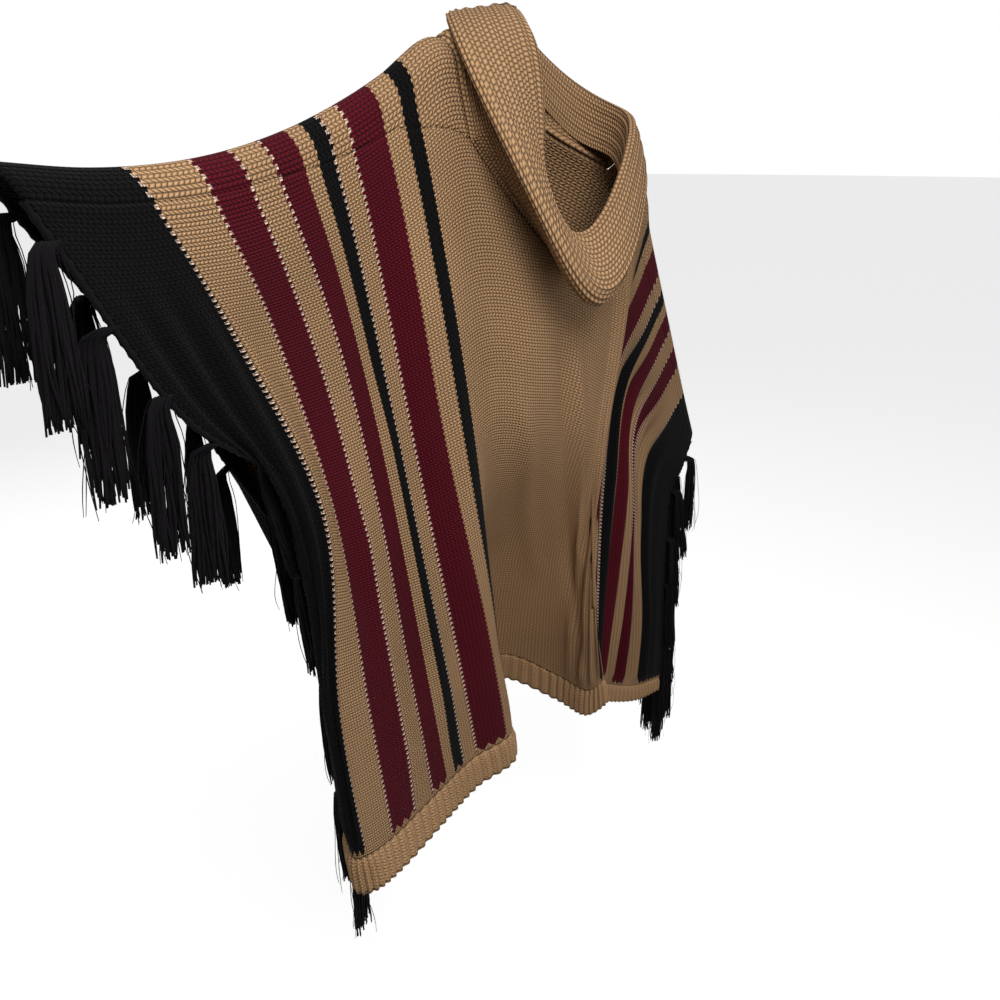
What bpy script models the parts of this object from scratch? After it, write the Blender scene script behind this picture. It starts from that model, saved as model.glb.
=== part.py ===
"""Knitted poncho sweater, hanging open and hollow from its neck with one corner drawn out.

Metres, +Z up. The front faces -Y and the wearer's right side is at -X. The origin is the
middle of the neck at shoulder height. A place on the cloth is (across, down): across runs from
the right side edge to the left one along the knitting, and down is the length of cloth from the
shoulder fold, positive over the front and negative over the back.
"""

import math
from collections import namedtuple

import bmesh
import bpy
import numpy as np

HALF_WIDTH = 0.635
LENGTH = 0.72
RIB_DEPTH = 0.042
WALL = 0.003
SEAM_GAP = 0.0006
FOLD_RADIUS = 0.009
NECK_HALF = 0.13
BACK_NECK_DROP = 0.02
FRONT_NECK_DROP = 0.185

RIBS = 88
RIB_RELIEF = 0.0014

TASSELS = {-1: 12, 1: 6}
LOCKS_PER_TASSEL = 3
TASSEL_LENGTH = 0.104
ROOT_SPREAD = 0.015
TASSEL_SPREAD = 0.021
TASSEL_STAGGER = 0.0066
TASSEL_REACH = 0.0155
STRIP_GAP = 0.0009
STRIP_WIDTH = 0.005
LOCK_HALF_DEPTH = 0.003

BACK_FLUTES = 5
BACK_FLUTE_DEPTH = 0.022

CAMEL = (0.42, 0.24, 0.10, 1.0)
BLACK = (0.012, 0.010, 0.014, 1.0)

# The shoulder fold: a taut line that sags from the hump beside the neck to the corner drawn out,
# then over the nape and the left shoulder, and down the arm at one slope.
CORNER = (-0.605, -0.055, -0.06)
HUMP = (-0.15, 0.02, 0.04)
NAPE = (0.0, 0.045, 0.0)
SHOULDER = (0.165, -0.005, -0.085)
HUMP_ACROSS = -0.15
SHOULDER_ACROSS = 0.15
FOLD_SAG = 0.04
FOLD_BOW = 0.008
ARM_FALL = 57
ARM_BACK = 5
ARM_TAKEN_UP = 0.10

# How the front hangs from the fold, a row for each section: the share of its length that the drop
# takes, and how it leans over each of the four spans below the fold, in degrees, towards the
# wearer's left and forward.
Hang = namedtuple("Hang", "across share leftward forward")
FRONT_HANG = [
    # the edge that hangs from the corner, and the side that is drawn out
    Hang(-0.635, 1.03, (29, 43, 14, 3), (8, -13, -5, 2)),
    Hang(-0.565, 0.97, (28, 26, 3, 3), (6, 0, 3, 4)),
    Hang(-0.530, 0.96, (29, 22, -3, 4), (5, 2, 5, 7)),
    Hang(-0.470, 0.955, (24, 14, 2, 3), (3, 5, 6, 7)),
    Hang(-0.390, 0.98, (21, 9, 6, 7), (3, 6, 5, 4)),
    Hang(-0.300, 1.01, (12, 5, 9, 12), (6, 8, 4, 0)),
    Hang(-0.225, 1.05, (5, 4, 12, 14), (14, 9, 2, -4)),
    # the middle, which sags into one deep fold
    Hang(-0.150, 1.13, (4, 5, 10, 10), (12, 3, -15, -11)),
    Hang(-0.070, 1.13, (0, 2, 9, 9), (21, 3, -25, -16)),
    Hang(0.000, 1.11, (-1, -6, 11, 10), (24, 4, -22, -15)),
    Hang(0.070, 1.06, (-5, -12, 6, 9), (21, 4, -14, -8)),
    Hang(0.150, 0.97, (-16, -22, -6, 5), (9, 6, 1, -4)),
    # the side that falls over the shoulder, taken up in small folds
    Hang(0.225, 0.88, (-31, -26, -8, 9), (4, 9, 7, 3)),
    Hang(0.300, 0.84, (-33, -20, -8, 7), (0, 6, 4, -3)),
    Hang(0.390, 0.80, (-37, -15, -3, 4), (1, 9, -2, -8)),
    Hang(0.535, 0.725, (-45, -14, 5, 9), (1, 7, 2, -6)),
    Hang(0.635, 0.62, (-36, -13, 2, 9), (8, 5, 1, -5)),
]
DOWN_LEVELS = (0.0, 0.17, 0.32, 0.52, 0.72)
TURN_DOWN = 0.045

EDGE_TUCK = (0.012, 0.003, 0.004)
EDGE_TUCK_FROM = 0.555
EDGE_TUCK_DOWN = 0.300
EDGE_TUCK_REACH = 0.100

# The back's hem in plan and height, without its flutes.
BackHem = namedtuple("BackHem", "across x y z")
BACK_HEM = [
    BackHem(-0.635, -0.135, 0.075, -0.705),
    BackHem(-0.550, -0.175, 0.115, -0.714),
    BackHem(-0.430, -0.130, 0.185, -0.728),
    BackHem(-0.250, -0.020, 0.222, -0.742),
    BackHem(0.000, 0.110, 0.232, -0.755),
    BackHem(0.250, 0.235, 0.222, -0.785),
    BackHem(0.430, 0.335, 0.185, -0.832),
    BackHem(0.550, 0.385, 0.135, -0.872),
    BackHem(0.635, 0.398, 0.092, -0.896),
]

# How far over the front the back's yoke reaches, by distance from the middle.
Yoke = namedtuple("Yoke", "across reach")
YOKE = [Yoke(0.13, 0.085), Yoke(0.17, 0.070), Yoke(0.23, 0.042), Yoke(0.40, 0.030), Yoke(0.635, 0.028)]

# The cowl's roll runs round the neck on an oval in plan that lies on a tilted plane, and dips at
# the front. Angles in the plan are in degrees: 180 is the wearer's right, 270 the front, 360 the
# left and 450 the back.
ROLL_CENTRE = (0.012, -0.012, 0.016)
ROLL_REACH = (0.108, 0.083)
ROLL_SKEW = 0.035
ROLL_TILT = (-0.50, 0.42)
ROLL_DIP = 0.185
ROLL_DIP_AT = 250
ROLL_DIP_SPREAD = 52

# The roll's section is an oval: lean is how far its inner end is turned up, in degrees, half_width
# and half_depth are its sizes, and tuck is how far the knitting hangs inside.
RollSection = namedtuple("RollSection", "angle lean half_width half_depth tuck")
ROLL_SECTIONS = [
    RollSection(160, 0, 0.036, 0.006, 0.040),
    RollSection(205, 15, 0.042, 0.013, 0.040),
    RollSection(240, 50, 0.038, 0.019, 0.035),
    RollSection(275, 68, 0.034, 0.017, 0.033),
    RollSection(315, 75, 0.028, 0.011, 0.055),
    RollSection(360, 78, 0.026, 0.010, 0.050),
    RollSection(420, 60, 0.022, 0.010, 0.060),
    RollSection(470, 35, 0.024, 0.009, 0.055),
]
# Where the wall passes round the oval, in degrees from its outer end, over the top and in.
ROLL_ANGLES = (-75, -12, 42, 168)
COWL_INSET = 0.0038
COWL_STAND = 0.006
COWL_TURN_IN = 0.010
# Where round the cowl, as shares of the way, the corners of the neckline are sewn on.
FIRST_ANGLE = 140
NECKLINE_SHARES = (0.0, 0.16, 0.36, 0.55, 0.68, 1.0)

FRONT_COLUMNS = 41
FRONT_ROWS = 12
BACK_ROWS = 8
COWL_COLUMNS = 48


def tangents(knots, values):
    """The slope of the values at each knot, from its neighbours."""
    step = np.diff(knots)[:, None]
    slope = np.diff(values, axis=0) / step
    inner = (slope[:-1] * step[1:] + slope[1:] * step[:-1]) / (step[1:] + step[:-1])
    return np.vstack([slope[:1], inner, slope[-1:]])


def smooth(knots, values, query):
    """Points on the cubic curve through the values at the knots; straight on beyond either end."""
    knots = np.asarray(knots, float)
    values = np.asarray(values, float)
    slopes = tangents(knots, values)
    query = np.atleast_1d(np.asarray(query, float))
    inside = np.clip(query, knots[0], knots[-1])
    i = np.clip(np.searchsorted(knots, inside, side="right") - 1, 0, len(knots) - 2)
    width = (knots[i + 1] - knots[i])[:, None]
    u = (inside - knots[i])[:, None] / width
    curve = (
        (2 * u**3 - 3 * u**2 + 1) * values[i]
        + (u**3 - 2 * u**2 + u) * width * slopes[i]
        + (3 * u**2 - 2 * u**3) * values[i + 1]
        + (u**3 - u**2) * width * slopes[i + 1]
    )
    beyond = (query - inside)[:, None]
    end_slope = np.where(beyond < 0, slopes[0], slopes[-1])
    return curve + beyond * end_slope


HANG_ACROSS = [row.across for row in FRONT_HANG]
BACK_ACROSS = [row.across for row in BACK_HEM]


def unit(vectors):
    return vectors / np.linalg.norm(vectors, axis=-1, keepdims=True)


def fold_line(across):
    """Where the shoulder fold lies at one place across."""
    corner, hump, nape, shoulder = (np.array(place) for place in (CORNER, HUMP, NAPE, SHOULDER))
    if across <= HUMP_ACROSS:
        share = (HUMP_ACROSS - across) / (HUMP_ACROSS + HALF_WIDTH)
        sag = 4 * share * (1 - share)
        return hump + (corner - hump) * share + np.array([0.0, FOLD_BOW * sag * (1 - share) * 2, -FOLD_SAG * sag])
    if across >= SHOULDER_ACROSS:
        fall = math.radians(ARM_FALL)
        beyond = across - SHOULDER_ACROSS
        taken = 1 - ARM_TAKEN_UP * beyond / (HALF_WIDTH - SHOULDER_ACROSS)
        way = np.array([math.cos(fall), math.tan(math.radians(ARM_BACK)), -math.sin(fall)])
        return shoulder + way * beyond * taken
    return smooth([HUMP_ACROSS, 0.0, SHOULDER_ACROSS], [hump, nape, shoulder], across)[0]


def hanging_points(row):
    """A section's points at the levels: down from the fold, each span at its own lean."""
    leftward, forward = np.tan(np.radians([row.leftward, row.forward]))
    way = unit(np.stack([leftward, -forward, -np.ones(len(forward))], axis=1))
    spans = way * np.diff(DOWN_LEVELS)[:, None] * row.share
    return fold_line(row.across) + np.vstack([np.zeros(3), np.cumsum(spans, axis=0)])


HANG_POINTS = np.array([hanging_points(row) for row in FRONT_HANG])


def front_level(level, across):
    """Where the front lies at one of the levels, 0 for the fold and 4 for the hem."""
    return smooth(HANG_ACROSS, HANG_POINTS[:, level], across)


def back_level(down, across):
    """Where the back lies, this far down from the fold: it falls away from the fold, then fluted."""
    fold = front_level(0, across)
    hem = smooth(BACK_ACROSS, [row[1:] for row in BACK_HEM], across)
    share = down / LENGTH
    edge = np.clip((np.abs(across) - 0.45) / (HALF_WIDTH - 0.45), 0, 1)
    fullness = 1 - (1 - share) ** (1.7 + 1.1 * edge)
    way = [np.full_like(edge, share**0.88), fullness, np.full_like(edge, share)]
    place = fold + (hem - fold) * np.stack(way, axis=1)
    phase = np.asarray(across) / HALF_WIDTH * math.pi * BACK_FLUTES
    taper = np.clip((HALF_WIDTH - np.abs(across)) / 0.10, 0.25, 1)
    place[:, 1] += BACK_FLUTE_DEPTH * share**1.3 * taper * np.cos(phase)
    return place


def edge_tuck(across, down):
    """How the front's right edge turns in behind the panel just below the corner drawn out."""
    rise = np.clip((-across - EDGE_TUCK_FROM) / (HALF_WIDTH - EDGE_TUCK_FROM), 0, 1.2) ** 1.5
    share = np.clip(1 - np.abs(down - EDGE_TUCK_DOWN) / EDGE_TUCK_REACH, 0, 1)
    return (rise * share**2 * (3 - 2 * share))[:, None] * np.array(EDGE_TUCK)


def cloth(across, down):
    """The middle of the wall at each place (across, down) on the front and the back."""
    across = np.atleast_1d(np.asarray(across, float))
    down = np.broadcast_to(np.asarray(down, float), across.shape)
    fold = front_level(0, across)
    front = [front_level(level, across) for level in range(1, len(DOWN_LEVELS))]
    back = [back_level(level, across) for level in DOWN_LEVELS[1:]]
    ahead, behind = unit(front[0] - fold), unit(back_level(TURN_DOWN, across) - fold)
    shoulder = np.array([0.0, FOLD_RADIUS, 0.0])
    quarter = FOLD_RADIUS * math.pi / 2
    over = [fold + behind * FOLD_RADIUS + shoulder, fold, fold + ahead * FOLD_RADIUS - shoulder]
    knots = [-d for d in DOWN_LEVELS[:0:-1]] + [-quarter, 0.0, quarter, TURN_DOWN] + list(DOWN_LEVELS[1:])
    levels = np.stack(back[::-1] + over + [fold + ahead * TURN_DOWN - shoulder] + front)
    place = np.array([smooth(knots, levels[:, i], down[i])[0] for i in range(len(across))])
    return place + edge_tuck(across, down)


def cloth_normal(across, down, step=0.002):
    """The outward direction at each place on the cloth."""
    along = cloth(across + step, down) - cloth(across - step, down)
    drop = cloth(across, down + step) - cloth(across, down - step)
    return unit(np.cross(drop, along))


def yoke_reach(across):
    rows = np.array([[row.across, row.reach] for row in YOKE])
    return np.interp(np.abs(across), rows[:, 0], rows[:, 1])


def front_top(across):
    """Where the front's top edge lies: the yoke seam, and the V of the neckline between."""
    across = np.asarray(across, float)
    share = np.clip(1 - np.abs(across) / NECK_HALF, 0, 1)
    neckline = yoke_reach(NECK_HALF) + (FRONT_NECK_DROP - yoke_reach(NECK_HALF)) * share
    return np.where(np.abs(across) < NECK_HALF, neckline, yoke_reach(across) + SEAM_GAP)


def panel_columns():
    """Columns across the cloth, with one on each end of the neck."""
    side = np.linspace(NECK_HALF, HALF_WIDTH, (FRONT_COLUMNS - 9) // 2 + 1)
    middle = np.linspace(-NECK_HALF, NECK_HALF, 9)
    return np.concatenate([-side[:0:-1], middle, side[1:]])


def material(name, colour, roughness):
    made = bpy.data.materials.new(name)
    made.use_nodes = True
    shader = made.node_tree.nodes["Principled BSDF"]
    shader.inputs["Base Color"].default_value = colour
    shader.inputs["Roughness"].default_value = roughness
    return made


def face_outward(bm):
    """Turns every face of a closed mesh outward."""
    bmesh.ops.recalc_face_normals(bm, faces=bm.faces)
    if bm.calc_volume(signed=True) < 0:
        bmesh.ops.reverse_faces(bm, faces=bm.faces)


def add_object(name, bm, finish):
    mesh = bpy.data.meshes.new(name)
    bm.to_mesh(mesh)
    bm.free()
    mesh.shade_smooth()
    mesh.materials.append(finish)
    made = bpy.data.objects.new(name, mesh)
    GARMENT.objects.link(made)
    return made


def add_wall(name, outer, inner, finish, closed=False, skip=None):
    """A closed wall between two grids of points of one size, rows by columns.

    closed joins the last column to the first, and skip(i, j) leaves out the cell at that row and
    column, on both sides alike.
    """
    rows, columns = outer.shape[:2]
    bm = bmesh.new()
    sides = ({}, {})

    def vertex(side, spot):
        if spot not in sides[side]:
            sides[side][spot] = bm.verts.new((outer, inner)[side][spot])
        return sides[side][spot]

    edges = {}
    for i in range(rows - 1):
        for j in range(columns if closed else columns - 1):
            if skip and skip(i, j):
                continue
            k = (j + 1) % columns
            a, b, c, d = (i, j), (i + 1, j), (i + 1, k), (i, k)
            slanted = np.linalg.norm(outer[a] - outer[c]) > np.linalg.norm(outer[b] - outer[d])
            for spots in ([a, b, d], [b, c, d]) if slanted else ([a, b, c], [a, c, d]):
                bm.faces.new([vertex(0, spot) for spot in spots])
                bm.faces.new([vertex(1, spot) for spot in spots[::-1]])
                edges.update(dict.fromkeys(zip(spots, spots[1:] + spots[:1])))
    for here, after in edges:
        if (after, here) not in edges:
            bm.faces.new([vertex(0, after), vertex(0, here), vertex(1, here), vertex(1, after)])
    face_outward(bm)
    return add_object(name, bm, finish)


def add_sheet(name, across, downs, finish, skip=None):
    """The wall about a grid of places on the cloth; downs holds one array or number for each row."""
    middle = np.array([cloth(across, down) for down in downs])
    offset = np.array([cloth_normal(across, down) for down in downs]) * WALL / 2
    return add_wall(name, middle + offset, middle - offset, finish, skip=skip)


def front_rows(across):
    """Places down the front, from the yoke seam and the neckline to the hem rib."""
    top = front_top(across)
    return [top + (LENGTH - RIB_DEPTH - top) * share for share in np.linspace(0, 1, FRONT_ROWS + 1)]


def back_rows(across):
    """Places up the back from the hem rib to its neckline, and on over the fold to the yoke seam."""
    body = list(np.linspace(-(LENGTH - RIB_DEPTH), -BACK_NECK_DROP, BACK_ROWS + 1))
    over = yoke_reach(across) + BACK_NECK_DROP
    return body + [-BACK_NECK_DROP + over * share for share in (0.22, 0.45, 0.72, 1.0)]


def build_front():
    across = panel_columns()
    add_sheet("front_panel", across, front_rows(across), CAMEL_KNIT)


def build_back():
    """The back, which wraps over the shoulders to the yoke seam on either side of the neck."""
    across = panel_columns()
    in_neck = np.abs((across[1:] + across[:-1]) / 2) < NECK_HALF
    add_sheet("back_panel", across, back_rows(across), CAMEL_KNIT, lambda i, j: i >= BACK_ROWS and in_neck[j])


def between_columns(across, values):
    """Values at the panel's columns, carried straight from one column to the next."""
    columns = panel_columns()
    return np.stack([np.interp(across, columns, values[:, axis]) for axis in range(3)], axis=1)


def build_rib(name, side):
    """A hem band whose ribs stand out of its right side; side is +1 on the front, -1 on the back."""
    across = np.linspace(-HALF_WIDTH, HALF_WIDTH, 2 * RIBS + 1)
    relief = RIB_RELIEF * (np.arange(len(across)) % 2)[:, None]
    columns = panel_columns()
    outer, inner = [], []
    for down in (side * (LENGTH - RIB_DEPTH + SEAM_GAP), side * LENGTH):
        middle = between_columns(across, cloth(columns, down))
        normal = between_columns(across, cloth_normal(columns, down))
        outer.append(middle + normal * (WALL / 2 + relief))
        inner.append(middle - normal * WALL / 2)
    add_wall(name, np.array(outer), np.array(inner), CAMEL_RIB)


def neckline(share):
    """Places (across, down) this share of the way round the neckline, from the wearer's right."""
    yoke = float(yoke_reach(NECK_HALF))
    corners = [
        (-NECK_HALF, -BACK_NECK_DROP),
        (-NECK_HALF, yoke),
        (0.0, FRONT_NECK_DROP),
        (NECK_HALF, yoke),
        (NECK_HALF, -BACK_NECK_DROP),
        (-NECK_HALF, -BACK_NECK_DROP),
    ]
    return np.stack([np.interp(share, NECKLINE_SHARES, [spot[axis] for spot in corners]) for axis in range(2)], axis=1)


def roll_core(angle):
    """The middle of the roll at angles round the neck."""
    plan = np.stack([np.cos(angle), np.sin(angle)], axis=1) * ROLL_REACH
    plan[:, 0] += ROLL_SKEW * np.sin(angle)
    away = np.degrees(angle) - ROLL_DIP_AT
    dip = ROLL_DIP * np.exp(-((away / ROLL_DIP_SPREAD) ** 2))
    return np.column_stack([plan, plan @ ROLL_TILT - dip]) + ROLL_CENTRE


def cowl_rings(share):
    """The cowl's rings of points, from the neckline out over the roll and down inside."""
    spots = neckline(share)
    tangent = np.roll(spots, -1, axis=0) - np.roll(spots, 1, axis=0)
    spots += COWL_INSET * unit(tangent[:, ::-1] * np.array([1.0, -1.0]))
    base, out = cloth(spots[:, 0], spots[:, 1]), cloth_normal(spots[:, 0], spots[:, 1])
    rings = [base - out * WALL / 2, base + out * COWL_STAND]
    degrees = FIRST_ANGLE + 360 * share
    core = roll_core(np.radians(degrees))
    rows = np.array(ROLL_SECTIONS)
    rows = np.vstack([rows[-2:] - [360, 0, 0, 0, 0], rows, rows[:2] + [360, 0, 0, 0, 0]])
    at = smooth(rows[:, 0], rows[:, 1:], degrees)
    lean, half_width, half_depth, tuck = np.radians(at[:, :1]), at[:, 1:2], at[:, 2:3], at[:, 3:]
    along = np.roll(core, -1, axis=0) - np.roll(core, 1, axis=0)
    outward = unit(along[:, [1, 0, 2]] * np.array([-1.0, 1.0, 0.0])) * -1
    upward = np.array([0.0, 0.0, 1.0])
    inner_end = upward * np.sin(lean) - outward * np.cos(lean)
    over = outward * np.sin(lean) + upward * np.cos(lean)
    for angle in np.radians(ROLL_ANGLES):
        rings.append(core - inner_end * half_width * math.cos(angle) + over * half_depth * math.sin(angle))
    rings.append(rings[-1] - outward * COWL_TURN_IN - upward * tuck)
    return np.array(rings)


def build_cowl():
    """The cowl, knitted as a wide tube, sewn on round the neckline and rolled over on itself."""
    middle = cowl_rings(np.arange(COWL_COLUMNS) / COWL_COLUMNS)
    along = np.roll(middle, -1, axis=1) - np.roll(middle, 1, axis=1)
    offset = unit(np.cross(along, np.gradient(middle, axis=0))) * WALL / 2
    add_wall("cowl", middle + offset, middle - offset, CAMEL_KNIT, closed=True)


def edge_rows(side, face):
    """Places down a panel's side edge, rib included, where the edge of its mesh bends."""
    edge = side * HALF_WIDTH
    rows = front_rows(edge) if face > 0 else back_rows(edge)[: BACK_ROWS + 1][::-1]
    return np.array([face * float(row) for row in rows] + [LENGTH])


def side_edge(side, face, rows):
    """The middle, outward way and right side of a panel's side edge at its rows."""
    across = np.full(len(rows), side * HALF_WIDTH)
    middle = cloth(across, face * rows)
    normal = cloth_normal(across, face * rows)
    outward = unit(np.cross(np.gradient(middle, axis=0), normal))
    beyond = cloth(across + side * 0.002, face * rows) - middle
    outward *= np.sign(np.sum(outward * beyond, axis=1, keepdims=True))
    return np.hstack([middle, outward, normal])


def tassel_stops(rows, count):
    """Places where the strip's mesh is cut, and the index of each cut that begins a lock."""
    first, last = 0.050, LENGTH - 0.020
    pitch = (last - first) / (count - 1)
    lock_width = ROOT_SPREAD / LOCKS_PER_TASSEL
    stops, roots = [rows[0] + SEAM_GAP], []
    for tassel in range(count):
        start = first + pitch * tassel - ROOT_SPREAD / 2
        roots += [len(stops) + lock for lock in range(LOCKS_PER_TASSEL)]
        stops += [start + lock_width * cut for cut in range(LOCKS_PER_TASSEL + 1)]
    stops.append(LENGTH - 0.006)
    for row in rows[1:-1]:
        nearest = int(np.argmin(np.abs(np.array(stops) - row)))
        if abs(stops[nearest] - row) < lock_width * 0.55:
            stops[nearest] = row
        else:
            place = int(np.searchsorted(stops, row))
            stops.insert(place, row)
            roots = [root + (root >= place) for root in roots]
    return np.array(stops), roots


def lock_rings(root, outward, thick, edge_below, to_hem, tassel, lock, phase):
    """Rings of four points down one lock: out of the strip, then down under its own weight.

    Locks of one tassel hang side by side, the topmost outermost, and neighbouring tassels hang on
    either side of the edge, so that they pass each other where the edge runs straight down.
    edge_below is the way from the root to the edge some way down, which the lock stays clear of
    as far as the hem.
    """
    flat = np.array([1.0, 1.0, 0.0])
    broad = unit(-outward * np.array([1.0, 0.3, 0.0]))
    deep = np.array([-broad[1], broad[0], 0.0])
    deep *= np.sign(deep @ thick)
    length = TASSEL_LENGTH * (1 + 0.04 * math.sin(1.7 * tassel + phase))
    slot = TASSEL_SPREAD / LOCKS_PER_TASSEL
    offset = (lock - (LOCKS_PER_TASSEL - 1) / 2) * slot
    hang = root - broad * (TASSEL_REACH - offset) + deep * TASSEL_STAGGER * (-1) ** tassel
    slope = edge_below * flat / abs(edge_below[2])
    steep = np.clip(1.6 - 2 * np.linalg.norm(slope), 0, 1)
    lean = -broad * max(0.0, float(-broad @ slope)) + deep * float(deep @ slope) * steep
    swing = lean * min(length, to_hem) - broad * 0.002 * (1 + math.cos(1.3 * tassel + phase))
    rings = []
    for share, drop, size in ((0.0, 0.010, 0.8), (0.5, 0.055, 1.0), (1.0, length, 0.7)):
        middle = hang + swing * share - np.array([0.0, 0.0, drop])
        wide, thin = broad * slot * 0.46 * size, deep * LOCK_HALF_DEPTH * size
        rings.append([middle - wide + thin, middle - wide - thin, middle + wide - thin, middle + wide + thin])
    return rings


def build_fringe(name, side, face):
    """The tassels of one side edge, fused at their roots into a strip along it.

    side is -1 on the wearer's right, +1 on the left; face is +1 on the front, -1 on the back.
    """
    rows = edge_rows(side, face)
    stops, roots = tassel_stops(rows, TASSELS[side])
    at = np.stack([np.interp(stops, rows, column) for column in side_edge(side, face, rows).T], axis=1)
    middle, outward, thick = at[:, :3], at[:, 3:6], at[:, 6:] * WALL / 2
    span = np.clip(stops, rows[0], LENGTH - TASSEL_LENGTH)
    edge_at = [np.interp(np.stack([span, span + TASSEL_LENGTH]), stops, middle[:, axis]) for axis in range(3)]
    edge_below = np.diff(np.stack(edge_at, axis=-1), axis=0)[0]
    near = middle + outward * STRIP_GAP
    far = near + outward * STRIP_WIDTH
    corners = np.stack([near + thick, far + thick, far - thick, near - thick], axis=1)
    bm = bmesh.new()
    rings = [[bm.verts.new(point) for point in ring] for ring in corners]
    bm.faces.new(rings[0])
    bm.faces.new(rings[-1][::-1])
    for i, (here, after) in enumerate(zip(rings, rings[1:])):
        for a in range(4):
            b = (a + 1) % 4
            if a == 1 and i in roots:
                continue
            bm.faces.new([here[a], after[a], after[b], here[b]])
    for n, i in enumerate(roots):
        tassel, lock = divmod(n, LOCKS_PER_TASSEL)
        middle_root = roots[tassel * LOCKS_PER_TASSEL + LOCKS_PER_TASSEL // 2]
        root = corners[middle_root : middle_root + 2, 1:3].mean(axis=(0, 1))
        ring = [rings[i][1], rings[i][2], rings[i + 1][2], rings[i + 1][1]]
        hanging = [row[middle_root] for row in (outward, thick, edge_below, LENGTH - stops)]
        for points in lock_rings(root, *hanging, tassel, lock, side + face):
            fresh = [bm.verts.new(point) for point in points]
            for a in range(4):
                b = (a + 1) % 4
                bm.faces.new([ring[a], ring[b], fresh[b], fresh[a]])
            ring = fresh
        bm.faces.new(ring)
    face_outward(bm)
    add_object(name, bm, BLACK_YARN)


for leftover in list(bpy.data.objects):
    bpy.data.objects.remove(leftover)

GARMENT = bpy.data.collections.new("poncho_sweater")
bpy.context.scene.collection.children.link(GARMENT)
CAMEL_KNIT = material("camel_knit", CAMEL, 0.9)
CAMEL_RIB = material("camel_rib", CAMEL, 0.9)
BLACK_YARN = material("black_yarn", BLACK, 0.85)

build_front()
build_back()
build_rib("front_rib", 1)
build_rib("back_rib", -1)
build_cowl()
build_fringe("fringe_front_right", -1, 1)
build_fringe("fringe_back_right", -1, -1)
build_fringe("fringe_front_left", 1, 1)
build_fringe("fringe_back_left", 1, -1)
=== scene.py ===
"""Knitted poncho sweater, dressed: striped panels, ribbed hems, rolled cowl and yarn fringes.

Metres, +Z up. The front faces -Y and the wearer's right side is at -X. The origin is the middle of
the neck. A place on the cloth is (across, down): across runs from the right side edge to the left
one, and down is the length of cloth from the shoulder fold, negative over the back.
"""

import logging
import math
from dataclasses import dataclass, field
from enum import Enum
from typing import NamedTuple

import bpy
import numpy as np
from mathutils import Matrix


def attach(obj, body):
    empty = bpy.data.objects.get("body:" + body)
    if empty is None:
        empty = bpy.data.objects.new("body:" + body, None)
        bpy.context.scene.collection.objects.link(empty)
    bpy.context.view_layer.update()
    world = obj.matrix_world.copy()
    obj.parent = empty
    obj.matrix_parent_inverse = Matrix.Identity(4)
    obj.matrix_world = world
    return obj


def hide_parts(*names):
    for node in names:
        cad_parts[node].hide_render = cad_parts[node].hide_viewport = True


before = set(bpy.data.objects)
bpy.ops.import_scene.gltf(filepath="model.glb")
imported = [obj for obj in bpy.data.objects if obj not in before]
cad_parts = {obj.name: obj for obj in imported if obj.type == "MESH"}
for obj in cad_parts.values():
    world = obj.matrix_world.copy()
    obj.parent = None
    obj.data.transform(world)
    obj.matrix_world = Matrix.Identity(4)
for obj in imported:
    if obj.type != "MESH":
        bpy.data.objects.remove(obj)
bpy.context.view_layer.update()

LOG = logging.getLogger("poncho")
Points = np.ndarray
Pair = tuple[float, float]
Triple = tuple[float, float, float]
Colour = tuple[float, float, float, float]
Socket = bpy.types.NodeSocket
Material = bpy.types.Material
Object = bpy.types.Object

# the cloth laid flat, the wall's thickness and the knit's pitch down the cloth
HALF_WIDTH = 0.635
LENGTH = 0.72
RIB_DEPTH = 0.042
BODY = LENGTH - RIB_DEPTH
WALL = 0.003
FOLD_RADIUS = 0.009
NECK_HALF = 0.13
BACK_NECK_DROP = 0.02
FRONT_NECK_DROP = 0.185
COURSE = 0.00287
# how far beside a place the cloth is read for its direction, and a way that no yarn runs in
STEP = 0.002
ASKEW = (0.30, 0.93, 0.21)

WHITE = (1.0, 1.0, 1.0, 1.0)
NOTHING = (0.0, 0.0, 0.0, 1.0)
YARN_SHINE = 0.06
YARN_SHEEN_ROUGHNESS = 0.55


class Yarn(Enum):
    """The yarns, and the pale beads where stripes change, as linear colours."""

    CAMEL = (0.520, 0.315, 0.165, 1.0)
    BURGUNDY = (0.110, 0.0050, 0.0140, 1.0)
    BLACK = (0.0030, 0.0025, 0.0033, 1.0)
    PURL_BEAD = (0.860, 0.640, 0.500, 1.0)


class Stitch(Enum):
    """How the loops of a knit lie: slanting by turns, or staggered with holes between."""

    SIDEWAYS = "sideways"
    MESH = "mesh"


class Hang(NamedTuple):
    """How a section of the front hangs: its length as a share of the cloth's, and its leans.

    There is a lean for each of the four spans below the fold, in degrees, towards the wearer's left
    and forward.
    """

    across: float
    share: float
    leftward: tuple[float, float, float, float]
    forward: tuple[float, float, float, float]


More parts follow.
